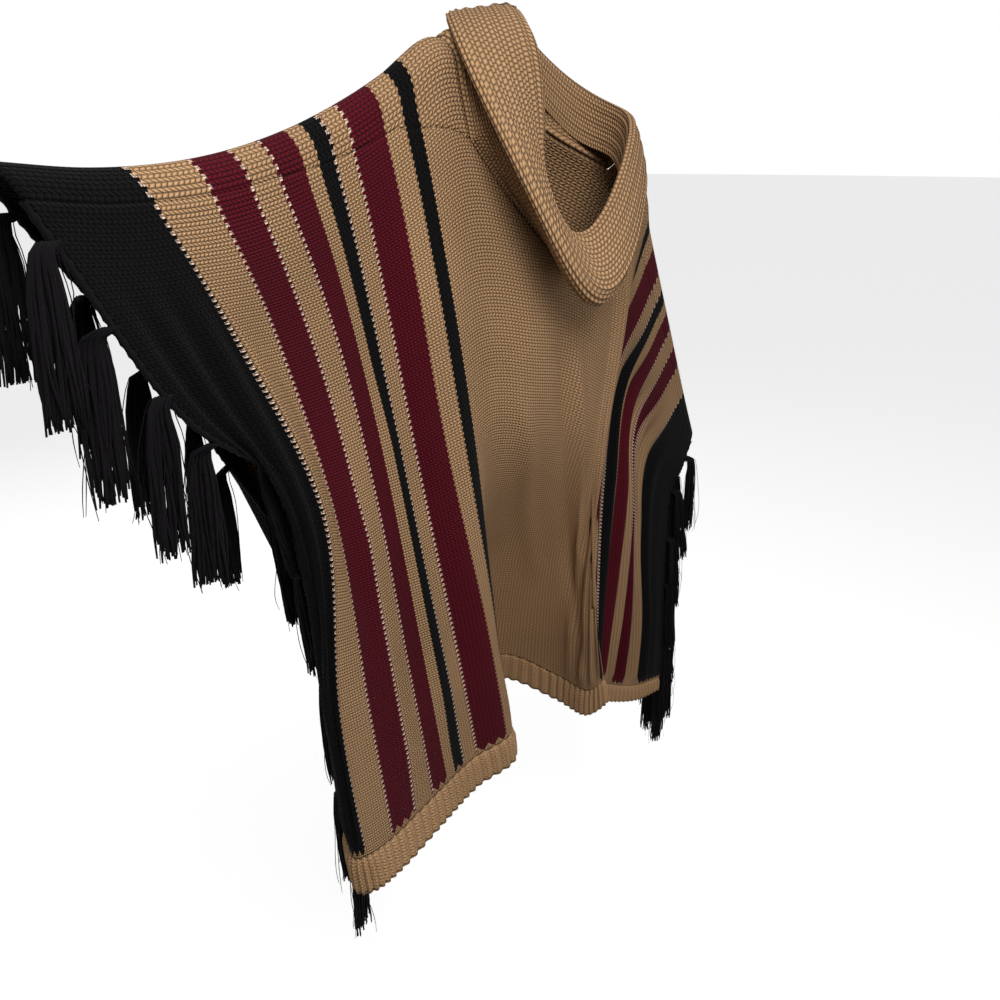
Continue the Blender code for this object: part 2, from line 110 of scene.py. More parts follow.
FRONT_HANG = [
    # the edge that hangs from the corner, and the side that is drawn out
    Hang(-0.635, 1.03, (29, 43, 14, 3), (8, -13, -5, 2)),
    Hang(-0.565, 0.97, (28, 26, 3, 3), (6, 0, 3, 4)),
    Hang(-0.530, 0.96, (29, 22, -3, 4), (5, 2, 5, 7)),
    Hang(-0.470, 0.955, (24, 14, 2, 3), (3, 5, 6, 7)),
    Hang(-0.390, 0.98, (21, 9, 6, 7), (3, 6, 5, 4)),
    Hang(-0.300, 1.01, (12, 5, 9, 12), (6, 8, 4, 0)),
    Hang(-0.225, 1.05, (5, 4, 12, 14), (14, 9, 2, -4)),
    # the middle, which sags into one deep fold
    Hang(-0.150, 1.13, (4, 5, 10, 10), (12, 3, -15, -11)),
    Hang(-0.070, 1.13, (0, 2, 9, 9), (21, 3, -25, -16)),
    Hang(0.000, 1.11, (-1, -6, 11, 10), (24, 4, -22, -15)),
    Hang(0.070, 1.06, (-5, -12, 6, 9), (21, 4, -14, -8)),
    Hang(0.150, 0.97, (-16, -22, -6, 5), (9, 6, 1, -4)),
    # the side that falls over the shoulder, taken up in small folds
    Hang(0.225, 0.88, (-31, -26, -8, 9), (4, 9, 7, 3)),
    Hang(0.300, 0.84, (-33, -20, -8, 7), (0, 6, 4, -3)),
    Hang(0.390, 0.80, (-37, -15, -3, 4), (1, 9, -2, -8)),
    Hang(0.535, 0.725, (-45, -14, 5, 9), (1, 7, 2, -6)),
    Hang(0.635, 0.62, (-36, -13, 2, 9), (8, 5, 1, -5)),
]
DOWN_LEVELS = (0.0, 0.17, 0.32, 0.52, 0.72)
TURN_DOWN = 0.045


class BackHem(NamedTuple):
    """The back's hem at one place across, before its flutes."""

    across: float
    x: float
    y: float
    z: float


BACK_HEM = [
    BackHem(-0.635, -0.135, 0.075, -0.705),
    BackHem(-0.550, -0.175, 0.115, -0.714),
    BackHem(-0.430, -0.130, 0.185, -0.728),
    BackHem(-0.250, -0.020, 0.222, -0.742),
    BackHem(0.000, 0.110, 0.232, -0.755),
    BackHem(0.250, 0.235, 0.222, -0.785),
    BackHem(0.430, 0.335, 0.185, -0.832),
    BackHem(0.550, 0.385, 0.135, -0.872),
    BackHem(0.635, 0.398, 0.092, -0.896),
]


class Yoke(NamedTuple):
    """How far over the front the back's yoke reaches, at a distance from the middle."""

    across: float
    reach: float


YOKE = [
    Yoke(NECK_HALF, 0.085),
    Yoke(0.17, 0.070),
    Yoke(0.23, 0.042),
    Yoke(0.40, 0.030),
    Yoke(HALF_WIDTH, 0.028),
]


class RollSection(NamedTuple):
    """The oval section of the cowl's roll at an angle round the neck, in degrees.

    The angle 180 is the wearer's right, 270 the front, 360 the left and 450 the back. The lean is
    how far the oval's inner end is turned up, and the tuck how far the knitting hangs inside.
    """

    angle: float
    lean: float
    half_width: float
    half_depth: float
    tuck: float


ROLL_SECTIONS = [
    RollSection(160, 0, 0.036, 0.006, 0.040),
    RollSection(205, 15, 0.042, 0.013, 0.040),
    RollSection(240, 50, 0.038, 0.019, 0.035),
    RollSection(275, 68, 0.034, 0.017, 0.033),
    RollSection(315, 75, 0.028, 0.011, 0.055),
    RollSection(360, 78, 0.026, 0.010, 0.050),
    RollSection(420, 60, 0.022, 0.010, 0.060),
    RollSection(470, 35, 0.024, 0.009, 0.055),
]


class Stripe(NamedTuple):
    """A stripe of the knitting, by its distance from the middle, the same on both sides."""

    start: float
    end: float
    yarn: Yarn


STRIPES = [
    Stripe(0.199, 0.215, Yarn.BLACK),
    Stripe(0.245, 0.291, Yarn.BURGUNDY),
    Stripe(0.313, 0.336, Yarn.BLACK),
    Stripe(0.359, 0.392, Yarn.BURGUNDY),
    Stripe(0.424, 0.470, Yarn.BURGUNDY),
    Stripe(0.530, 0.660, Yarn.BLACK),
]


class Crease(NamedTuple):
    """A soft ridge from one place to another, or a furrow where its height is negative.

    It fades over a share of its length at either end.
    """

    start: Pair
    end: Pair
    width: float
    height: float
    fade: float = 0.22

    def raised(self, across: Points, down: Points) -> Points:
        """Its height at places on the cloth, bell-shaped across its line."""
        way = np.subtract(self.end, self.start)
        reach = float(np.hypot(*way))
        way = way / reach
        across, down = across - self.start[0], down - self.start[1]
        along = (across * way[0] + down * way[1]) / reach
        aside = across * way[1] - down * way[0]
        faded = ease(along / self.fade) * ease((1 - along) / self.fade)
        return self.height * faded * np.exp(-((aside / self.width) ** 2))


FRONT_CREASES = [
    Crease((-0.34, 0.20), (-0.33, 0.66), 0.020, 0.0050),
    Crease((-0.25, 0.16), (-0.22, 0.66), 0.020, -0.0045),
    Crease((-0.50, 0.10), (-0.44, 0.50), 0.022, -0.0040),
    Crease((-0.43, 0.30), (-0.42, 0.68), 0.020, 0.0045),
    Crease((-0.035, 0.205), (0.150, 0.670), 0.014, -0.0070),
    Crease((0.005, 0.220), (0.130, 0.530), 0.009, 0.0060),
    Crease((-0.110, 0.280), (0.040, 0.565), 0.018, 0.0050),
]
BACK_CREASES = [
    Crease((-0.45, -0.10), (-0.30, -0.60), 0.030, 0.0060),
    Crease((0.05, -0.12), (0.02, -0.66), 0.030, -0.0060),
    Crease((0.45, -0.15), (0.36, -0.66), 0.026, 0.0060),
]


class Gather(NamedTuple):
    """A run of small folds side by side, where the hanging cloth is taken up.

    They fade over a share of the half width at either side, begin this far down, grow over the
    rise, and drift across as they go down.
    """

    middle: float
    half_width: float
    pitch: float
    height: float
    fade: float = 0.4
    begin: float = 0.06
    rise: float = 0.12
    drift: float = 0.03

    def raised(self, across: Points, down: Points) -> Points:
        """Its height at places on the cloth."""
        aside = across - self.middle
        within = ease((1 - np.abs(aside) / self.half_width) / self.fade)
        wave = np.cos(2 * math.pi * (aside + self.drift * down) / self.pitch)
        return self.height * within * ease((np.abs(down) - self.begin) / self.rise) * wave


FRONT_GATHERS = [
    Gather(-0.585, 0.075, 0.034, 0.0040),
    Gather(0.150, 0.070, 0.036, 0.0036),
    Gather(0.440, 0.185, 0.046, 0.0052),
]
BACK_GATHERS = [
    Gather(-0.520, 0.120, 0.050, 0.0050),
    Gather(0.480, 0.150, 0.050, 0.0050),
]


def unit(vectors: Points) -> Points:
    """The vectors at length one."""
    return vectors / np.maximum(np.linalg.norm(vectors, axis=-1, keepdims=True), 1e-12)


def ease(value: Points) -> Points:
    """Values from 0 to 1, starting and ending level: three times the square less twice the cube."""
    held = np.clip(value, 0.0, 1.0)
    return held * held * (3 - 2 * held)


def tangents(knots: Points, values: Points) -> Points:
    """The slope at each knot, the mean of the slopes beside it weighted by the nearer one.

    Args:
        knots: Places along the curve, rising.
        values: One row of values for each knot.

    Returns:
        A slope for each value.
    """
    step = np.diff(knots).reshape((-1,) + (1,) * (values.ndim - 1))
    slope = np.diff(values, axis=0) / step
    inner = (slope[:-1] * step[1:] + slope[1:] * step[:-1]) / (step[1:] + step[:-1])
    return np.concatenate([slope[:1], inner, slope[-1:]])


def hermite(knots: Points, values: Points, query: Points, own: Points | None = None) -> Points:
    """Points on the cubic curve through the values, which goes straight on beyond either end.

    Args:
        knots: Places along the curve, rising.
        values: One row of points for each knot; with own, one row of points for each query in it.
        query: Places to read the curve at, in one row.
        own: The column of values that each query reads, or None where all read the same curve.

    Returns:
        One point for each query.
    """
    slopes = tangents(knots, values)
    inside = np.clip(query, knots[0], knots[-1])
    i = np.clip(np.searchsorted(knots, inside, side="right") - 1, 0, len(knots) - 2)
    here, after = (i, i + 1) if own is None else ((i, own), (i + 1, own))
    first, last = (0, -1) if own is None else ((0, own), (-1, own))
    width = (knots[i + 1] - knots[i])[:, None]
    u = (inside - knots[i])[:, None] / width
    curve = (
        (2 * u**3 - 3 * u**2 + 1) * values[here]
        + (u**3 - 2 * u**2 + u) * width * slopes[here]
        + (3 * u**2 - 2 * u**3) * values[after]
        + (u**3 - u**2) * width * slopes[after]
    )
    beyond = (query - inside)[:, None]
    return curve + beyond * np.where(beyond < 0, slopes[first], slopes[last])


@dataclass(frozen=True)
class ShoulderFold:
    """The fold over the shoulders.

    It is a taut line that sags from the hump beside the neck to the corner drawn out. It goes over
    the nape and the left shoulder, and falls down the arm at one slope.
    """

    corner: Triple = (-0.605, -0.055, -0.06)
    hump: Triple = (-0.15, 0.02, 0.04)
    nape: Triple = (0.0, 0.045, 0.0)
    shoulder: Triple = (0.165, -0.005, -0.085)
    hump_across: float = -0.15
    shoulder_across: float = 0.15
    sag: float = 0.04
    bow: float = 0.008
    arm_fall: float = 57
    arm_back: float = 5
    arm_taken_up: float = 0.10

    def at(self, across: float) -> Points:
        """The point of the fold at one place across."""
        marks = np.array([self.corner, self.hump, self.nape, self.shoulder])
        corner, hump, _, shoulder = marks
        if across <= self.hump_across:
            share = (self.hump_across - across) / (self.hump_across + HALF_WIDTH)
            sag = 4 * share * (1 - share)
            droop = np.array([0.0, self.bow * sag * (1 - share) * 2, -self.sag * sag])
            return hump + (corner - hump) * share + droop
        if across >= self.shoulder_across:
            fall = math.radians(self.arm_fall)
            beyond = across - self.shoulder_across
            taken = 1 - self.arm_taken_up * beyond / (HALF_WIDTH - self.shoulder_across)
            back = math.tan(math.radians(self.arm_back))
            way = np.array([math.cos(fall), back, -math.sin(fall)])
            return shoulder + way * beyond * taken
        knots = np.array([self.hump_across, 0.0, self.shoulder_across])
        return hermite(knots, marks[1:], np.array([across]))[0]


def hanging_points(row: Hang, fold: Points) -> Points:
    """A section's points, down from the fold with each span at its own lean.

    Args:
        row: The section.
        fold: Its point on the shoulder fold.

    Returns:
        A point for each of the levels.
    """
    leftward, forward = np.tan(np.radians([row.leftward, row.forward]))
    way = unit(np.stack([leftward, -forward, -np.ones(len(forward))], axis=1))
    spans = way * np.diff(DOWN_LEVELS)[:, None] * row.share
    return fold + np.vstack([np.zeros(3), np.cumsum(spans, axis=0)])


@dataclass
class HungCloth:
    """The form that the front and back take as they hang, as points at places on the cloth.

    The fullness is how steeply the back leaves the fold, and what its side edges add to that. The
    tuck is where and how far the front's right edge turns in.
    """

    fold: ShoulderFold = field(default_factory=ShoulderFold)
    edge_from: float = 0.45
    fullness: float = 1.7
    edge_fullness: float = 1.1
    sideways: float = 0.88
    flutes: int = 5
    flute_depth: float = 0.022
    flute_growth: float = 1.3
    flute_fade: float = 0.10
    least_flute: float = 0.25
    tuck: Triple = (0.012, 0.003, 0.004)
    tuck_from: float = 0.555
    tuck_down: float = 0.300
    tuck_reach: float = 0.100
    tuck_power: float = 1.5

    def __post_init__(self) -> None:
        """Works out the points of each section of the front, and reads the back's hem."""
        self.hung = np.array([hanging_points(row, self.fold.at(row.across)) for row in FRONT_HANG])
        self.across_knots = np.array([row.across for row in FRONT_HANG])
        self.hem = np.array(BACK_HEM)

    def front_level(self, level: int, across: Points) -> Points:
        """Where the front lies at one of the levels, 0 for the fold and 4 for the hem."""
        return hermite(self.across_knots, self.hung[:, level], across)

    def back_level(self, down: float, across: Points) -> Points:
        """Where the back lies this far down: it leaves the fold steeply, and its hem is fluted.

        Args:
            down: Length of cloth from the fold.
            across: Places across the cloth.

        Returns:
            One point for each place.
        """
        fold = self.front_level(0, across)
        hem = hermite(self.hem[:, 0], self.hem[:, 1:], across)
        share = down / LENGTH
        edge = np.clip((np.abs(across) - self.edge_from) / (HALF_WIDTH - self.edge_from), 0, 1)
        behind = 1 - (1 - share) ** (self.fullness + self.edge_fullness * edge)
        way = [np.full_like(edge, share**self.sideways), behind, np.full_like(edge, share)]
        place = fold + (hem - fold) * np.stack(way, axis=1)
        phase = across / HALF_WIDTH * math.pi * self.flutes
        taper = np.clip((HALF_WIDTH - np.abs(across)) / self.flute_fade, self.least_flute, 1)
        place[:, 1] += self.flute_depth * share**self.flute_growth * taper * np.cos(phase)
        return place

    def edge_tuck(self, across: Points, down: Points) -> Points:
        """How the front's right edge turns in behind the panel, below the corner drawn out."""
        # places a little beyond the edge are read too, for its direction
        rise = np.clip((-across - self.tuck_from) / (HALF_WIDTH - self.tuck_from), 0, 1.2)
        share = ease(1 - np.abs(down - self.tuck_down) / self.tuck_reach)
        return (rise**self.tuck_power * share)[:, None] * np.array(self.tuck)

    def place(self, across: Points, down: Points) -> Points:
        """Points of the middle of the wall, on a cubic curve down the cloth at each place across.

        Args:
            across: Places across, in any shape.
            down: Places down, in the same shape.

        Returns:
            The points, in that shape with three numbers each.
        """
        shape = np.shape(across)
        across, down = np.ravel(across), np.ravel(down)
        fold = self.front_level(0, across)
        below = DOWN_LEVELS[1:]
        front = [self.front_level(level, across) for level in range(1, len(DOWN_LEVELS))]
        back = [self.back_level(down_at, across) for down_at in below]
        ahead, behind = unit(front[0] - fold), unit(self.back_level(TURN_DOWN, across) - fold)
        shoulder = np.array([0.0, FOLD_RADIUS, 0.0])
        quarter = FOLD_RADIUS * math.pi / 2
        over = [fold + behind * FOLD_RADIUS + shoulder, fold, fold + ahead * FOLD_RADIUS - shoulder]
        turned = fold + ahead * TURN_DOWN - shoulder
        knots = [-d for d in below[::-1]] + [-quarter, 0.0, quarter, TURN_DOWN] + list(below)
        levels = np.stack(back[::-1] + over + [turned] + front)
        points = hermite(np.array(knots), levels, down, own=np.arange(len(across)))
        return (points + self.edge_tuck(across, down)).reshape(shape + (3,))

    def normal(self, across: Points, down: Points, step: float = STEP) -> Points:
        """The outward direction at places on the cloth: down crossed with across."""
        along = self.place(across + step, down) - self.place(across - step, down)
        drop = self.place(across, down + step) - self.place(across, down - step)
        return unit(np.cross(drop, along))

    def side_edge(self, side: int, down: Points) -> tuple[Points, Points, Points]:
        """The line of a side edge, its outward directions and its right sides.

        Args:
            side: -1 for the wearer's right edge, +1 for the left.
            down: Places down the edge, negative on the back.

        Returns:
            Points on the edge, the way out of the cloth at each, and the cloth's outward face.
        """
        across = np.full(len(down), side * HALF_WIDTH)
        middle, normal = self.place(across, down), self.normal(across, down)
        outward = unit(np.cross(np.gradient(middle, axis=0), normal))
        beyond = self.place(across + side * STEP, down) - middle
        return middle, outward * np.sign(np.sum(outward * beyond, axis=1, keepdims=True)), normal


def yoke_reach(across: Points) -> Points:
    """How far down the front the yoke seam lies."""
    rows = np.array(YOKE)
    return np.interp(np.abs(across), rows[:, 0], rows[:, 1])


def quads_of(rows: int, columns: int, closed: bool) -> Points:
    """The corners of each cell of a grid, whose last column joins the first where it is closed."""
    wide = columns if closed else columns - 1
    i, j = np.meshgrid(np.arange(rows - 1), np.arange(wide), indexing="ij")
    here, below, after = i * columns, (i + 1) * columns, (j + 1) % columns
    return np.stack([here + j, below + j, below + after, here + after], axis=-1)


def add_mesh(
    name: str, points: Points, faces: Points, places: Points | None, finish: Material
) -> Object:
    """A smooth mesh object at the origin, with its places on the cloth as its UV map.

    Args:
        name: The object's name.
        points: Its vertices.
        faces: Its faces, four corners each.
        places: One (across, down) for each vertex, or None.
        finish: Its material.

    Returns:
        The object, in the scene.
    """
    mesh = bpy.data.meshes.new(name)
    mesh.from_pydata(points.tolist(), [], faces.tolist())
    if places is not None:
        corners = np.empty(len(mesh.loops), np.int32)
        mesh.loops.foreach_get("vertex_index", corners)
        layer = mesh.uv_layers.new(name="cloth")
        layer.data.foreach_set("uv", places[corners].astype(np.float32).ravel())
    mesh.validate()
    mesh.shade_smooth()
    mesh.materials.append(finish)
    made = bpy.data.objects.new(name, mesh)
    bpy.context.scene.collection.objects.link(made)
    return made


def tube_faces(count: int, rings: int, sides: int, start: int = 0) -> Points:
    """The faces of several tubes, whose ends are closed if they have four sides.

    Args:
        count: How many tubes.
        rings: Rings in each.
        sides: Points in a ring.
        start: The number of their first point.

    Returns:
        The four corners of each face.
    """
    grid = (np.arange(count), np.arange(rings - 1), np.arange(sides))
    tube, ring, side = np.meshgrid(*grid, indexing="ij")
    base = start + (tube * rings + ring) * sides
    after, above = (side + 1) % sides, base + sides
    faces = [np.stack([base + side, base + after, above + after, above + side], axis=-1)]
    if sides == 4:
        first = start + np.arange(count)[:, None] * rings * sides
        faces += [first + np.arange(4)[::-1], first + (rings - 1) * sides + np.arange(4)]
    return np.concatenate([part.reshape(-1, 4) for part in faces])


def tube_points(paths: Points, radius: Points, sides: int) -> Points:
    """Rings of points round paths, square to each path's direction.

    Args:
        paths: Tubes by rings by three.
        radius: Tubes by rings.
        sides: Points in a ring.

    Returns:
        All the points, ring by ring.
    """
    way = unit(np.gradient(paths, axis=1))
    across = unit(np.cross(way, ASKEW))[..., None, :]
    other = np.cross(way, across[..., 0, :])[..., None, :]
    angle = np.arange(sides) / sides * 2 * math.pi
    ring = across * np.cos(angle)[:, None] + other * np.sin(angle)[:, None]
    return (paths[..., None, :] + ring * radius[..., None, None]).reshape(-1, 3)


class Nodes:
    """A node tree, drawn a node at a time."""

    def __init__(self, tree: bpy.types.NodeTree) -> None:
        """Starts with this tree as it is."""
        self.tree = tree

    def feed(self, socket: Socket, value: object) -> None:
        """Joins a socket to another, or gives it a fixed value."""
        if isinstance(value, Socket):
            self.tree.links.new(value, socket)
        else:
            socket.default_value = value

    def node(self, kind: str, fed: dict | None = None, **settings: object) -> bpy.types.Node:
        """A new shader node with these settings, its inputs fed by name or number."""
        made = self.tree.nodes.new("ShaderNode" + kind)
        for name, value in settings.items():
            setattr(made, name, value)
        for name, value in (fed or {}).items():
            self.feed(made.inputs[name], value)
        return made


class Sketch(Nodes):
    """A material's node tree and its shader."""

    def __init__(self, name: str) -> None:
        """Starts a material of this name."""
        self.material = bpy.data.materials.new(name)
        self.material.use_nodes = True
        super().__init__(self.material.node_tree)
        self.shader = self.tree.nodes["Principled BSDF"]

    def finish(self, values: dict[str, object]) -> Material:
        """Feeds the shader's inputs by name, and gives the material back."""
        for name, value in values.items():
            self.feed(self.shader.inputs[name], value)
        return self.material

    def math(self, operation: str, *values: object, clamp: bool = False) -> Socket:
        """The result of one sum on up to three numbers."""
        fed = dict(enumerate(values))
        return self.node("Math", fed, operation=operation, use_clamp=clamp).outputs[0]

    def place(self) -> tuple[Socket, Socket]:
        """The place on the cloth, as across and down."""
        layer = self.node("UVMap", uv_map="cloth")
        split = self.node("SeparateXYZ", {0: layer.outputs["UV"]})
        return split.outputs[0], split.outputs[1]

    def noise(self, scale: float, detail: float = 2.0) -> Socket:
        """Cloudy noise in the object's own space."""
        spot = self.node("TexCoord").outputs["Object"]
        fed = {"Vector": spot, "Scale": scale, "Detail": detail}
        return self.node("TexNoise", fed).outputs[0]

    def mottle(self, scale: float, detail: float, amount: float) -> Socket:
        """Cloudy noise about one, which strays from it by half the amount."""
        return self.math("MULTIPLY_ADD", self.noise(scale, detail), amount, 1 - amount / 2)

    def blend(self, share: object, first: object, second: object, mode: str = "MIX") -> Socket:
        """Two colours mixed by a share from 0 to 1."""
        fed = {0: share, 6: first, 7: second}
        return self.node("Mix", fed, data_type="RGBA", blend_type=mode).outputs[2]

    def bands(self, value: Socket, stops: list[tuple[float, Colour]]) -> Socket:
        """A colour that changes sharply at each stop as the value rises."""
        ramp = self.node("ValToRGB", {0: value})
        ramp.color_ramp.interpolation = "CONSTANT"
        elements = ramp.color_ramp.elements
        elements[0].position, elements[0].color = stops[0]
        elements.remove(elements[1])
        for position, colour in stops[1:]:
            elements.new(position).color = colour
        return ramp.outputs[0]

    def bump(self, height: Socket, distance: float, strength: float = 1.0) -> None:
        """Lets a height, in shares of the distance, roughen the surface."""
        fed = {"Height": height, "Distance": distance, "Strength": strength}
        self.feed(self.shader.inputs["Normal"], self.node("Bump", fed).outputs[0])

    def matt_yarn(self, colour: Socket, roughness: float, sheen: float) -> Material:
        """Finishes the material as a matt yarn."""
        values = {"Base Color": colour, "Roughness": roughness, "Sheen Weight": sheen}
        values |= {"Specular IOR Level": YARN_SHINE, "Sheen Roughness": YARN_SHEEN_ROUGHNESS}
        return self.finish(values)


@dataclass(frozen=True)
class KnitFinish:
    """Knitted loops of yarn in rows, with stripes of other yarns where the knitting has them.

    A loop is the product of two parabolas, raised to its roundness. The drift and the fuzz are
    each a noise's scale, detail and amount.
    """

    name: str
    stitch: Stitch
    stitch_width: float
    course: float
    striped: bool
    slant: float = 0.55
    stagger: float = 0.25
    steepness: Pair = (-3.6, -3.8)
    roundness: float = 0.62
    relief: float = 0.0017
    # how much the colour darkens between the loops, as painted shade
    painted_hollow_shade: float = 0.80
    roughness: float = 0.88
    sheen: float = 0.015
    stripe_step: float = 0.0007
    bead: Pair = (0.0012, 0.0036)
    bead_length: float = 0.24
    zigzag: float = 0.0072
    plain_above_rib: float = 0.0090
    drift: Triple = (9.0, 2.0, 0.34)
    fuzz: Triple = (900.0, 1.0, 0.30)

    def loops(self, sketch: Sketch, across: Socket, down: Socket) -> tuple[Socket, Socket]:
        """Rounded loops in rows, each in a slanted or staggered cell.

        Args:
            sketch: The material being drawn.
            across: The place across.
            down: The place down.

        Returns:
            The height of the loops from 0 to 1, and the turn of each row, -1 or +1.
        """
        calc = sketch.math
        row = calc("DIVIDE", down, self.course)
        inside = calc("SUBTRACT", calc("FRACT", row), 0.5)
        odd = calc("FLOORED_MODULO", calc("FLOOR", row), 2.0)
        turn = calc("MULTIPLY_ADD", odd, 2.0, -1.0)
        column = calc("DIVIDE", across, self.stitch_width)
        if self.stitch is Stitch.SIDEWAYS:
            lean = calc("MULTIPLY", calc("MULTIPLY", inside, turn), self.slant)
            column = calc("ADD", column, lean)
        else:
            column = calc("MULTIPLY_ADD", turn, self.stagger, column)
        aside = calc("SUBTRACT", calc("FRACT", column), 0.5)
        tall, wide = (
            calc("MULTIPLY_ADD", calc("MULTIPLY", way, way), steepness, 1.0)
            for way, steepness in zip((inside, aside), self.steepness)
        )
        return calc("POWER", calc("MULTIPLY", tall, wide, clamp=True), self.roundness), turn

    def stripes(self, sketch: Sketch, across: Socket, down: Socket, turn: Socket) -> Socket:
        """The yarn at each place: stepped stripes, beads at their edges, plain by the hem.

        Args:
            sketch: The material being drawn.
            across: The place across.
            down: The place down.
            turn: Which way each row's loops slant.

        Returns:
            The colour.
        """
        calc = sketch.math
        aside = calc("ABSOLUTE", across)
        stepped = calc("MULTIPLY_ADD", turn, self.stripe_step, aside)
        stops = [(0.0, Yarn.CAMEL.value)]
        beads: list[tuple[float, Colour]] = [(0.0, NOTHING)]
        near, far = self.bead
        for stripe in STRIPES:
            stops += [(stripe.start, stripe.yarn.value), (stripe.end, Yarn.CAMEL.value)]
            beads += [(stripe.start + near, WHITE), (stripe.start + far, NOTHING)]
            beads += [(stripe.end - far, WHITE), (stripe.end - near, NOTHING)]
        # the last stripe runs on past the edge, so its end isn't drawn
        colour = sketch.bands(stepped, stops[:-1])
        bead = sketch.bands(aside, beads[:-2])
        beat = calc("FRACT", calc("DIVIDE", down, 2 * self.course))
        away = calc("ABSOLUTE", calc("SUBTRACT", beat, 0.5))
        dot = calc("LESS_THAN", away, self.bead_length)
        colour = sketch.blend(calc("MULTIPLY", bead, dot), colour, Yarn.PURL_BEAD.value)
        point = calc("PINGPONG", across, self.zigzag)
        level = calc("SUBTRACT", calc("ABSOLUTE", down), point)
        plain = calc("GREATER_THAN", level, BODY - self.plain_above_rib)
        return sketch.blend(plain, colour, Yarn.CAMEL.value)

    def make(self) -> Material:
        """The material, whose colour is darkened between the loops by painted shade and drifts over
        the cloth.
        """
        sketch = Sketch(self.name)
        across, down = sketch.place()
        height, turn = self.loops(sketch, across, down)
        colour = self.stripes(sketch, across, down, turn) if self.striped else Yarn.CAMEL.value
        # painted shade: the colour is darkened between the loops, where their hollows would lie in
        # shadow; the drift and fuzz then vary its tone at random
        depth = sketch.math("MULTIPLY_ADD", height, self.painted_hollow_shade, 1.0 - self.painted_hollow_shade, clamp=True)
        drift, fuzz = sketch.mottle(*self.drift), sketch.mottle(*self.fuzz)
        painted_shade_and_tone = sketch.math("MULTIPLY", sketch.math("MULTIPLY", depth, drift), fuzz)
        grey = sketch.node("CombineColor", {way: painted_shade_and_tone for way in range(3)})
        colour = sketch.blend(1.0, colour, grey.outputs[0], "MULTIPLY")
        sketch.bump(height, self.relief)
        return sketch.matt_yarn(colour, self.roughness, self.sheen)


@dataclass(frozen=True)
class YarnFinish:
    """Loose plied yarn, dark, with paler fibres along it."""

    name: str
    yarn: Yarn
    grain_scale: float = 700.0
    paler: float = 2.4
    relief: float = 0.0006
    strength: float = 0.8
    roughness: float = 0.82
    sheen: float = 0.01

    def make(self) -> Material:
        """The material."""
        sketch = Sketch(self.name)
        grain = sketch.noise(self.grain_scale)
        fibre = tuple(self.paler * part for part in self.yarn.value[:3]) + (1.0,)
        colour = sketch.blend(grain, self.yarn.value, fibre)
        sketch.bump(grain, self.relief, self.strength)
        return sketch.matt_yarn(colour, self.roughness, self.sheen)


@dataclass(frozen=True)
class FloorFinish:
    """A pale matt floor with a little light of its own."""

    name: str = "pale_floor"
    colour: Colour = (0.92, 0.92, 0.92, 1.0)
    roughness: float = 0.9
    glow: float = 0.42

    def make(self) -> Material:
        """The material."""
        values = {"Base Color": self.colour, "Roughness": self.roughness}
        values |= {"Emission Color": WHITE, "Emission Strength": self.glow}
        return Sketch(self.name).finish(values)


@dataclass
class Piece:
    """A piece of the garment: its names here and in the CAD, the cloth's form and its finish."""

    name: str
    node: str
    cloth: HungCloth
    finish: Material

    def add(self, points: Points, faces: Points, places: Points | None, slot: str) -> Object:
        """Adds the piece's mesh, and says what it rides on and what it replaces."""
        made = add_mesh(self.name, points, faces, places, self.finish)
        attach(made, "root")
        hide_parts(self.node)
        return made

    def add_wall(
        self, outer: Points, inner: Points, places: Points, slot: str, cells: Points
    ) -> Object:
        """Adds a closed wall between two grids of points, with a rim round every open edge.

        Args:
            outer: The right side's points, rows by columns.
            inner: The wrong side's points.
            places: The place on the cloth of each point.
            slot: Not used.
            cells: The corners of the grid's cells.

        Returns:
            The object.
        """
        cells, count = cells.reshape(-1, 4), outer.size // 3
        sides = np.concatenate([cells[:, [a, (a + 1) % 4]] for a in range(4)])
        code, back = sides[:, 0] * count + sides[:, 1], sides[:, 1] * count + sides[:, 0]
        rim = sides[~np.isin(back, code)]
        rims = np.stack([rim[:, 1], rim[:, 0], rim[:, 0] + count, rim[:, 1] + count], axis=1)
        faces = np.concatenate([cells, cells[:, ::-1] + count, rims])
        points = np.concatenate([outer.reshape(-1, 3), inner.reshape(-1, 3)])
        flat = np.concatenate([places.reshape(-1, 2)] * 2)
        used, faces = np.unique(faces, return_inverse=True)
        return self.add(points[used], faces.reshape(-1, 4), flat[used], slot)


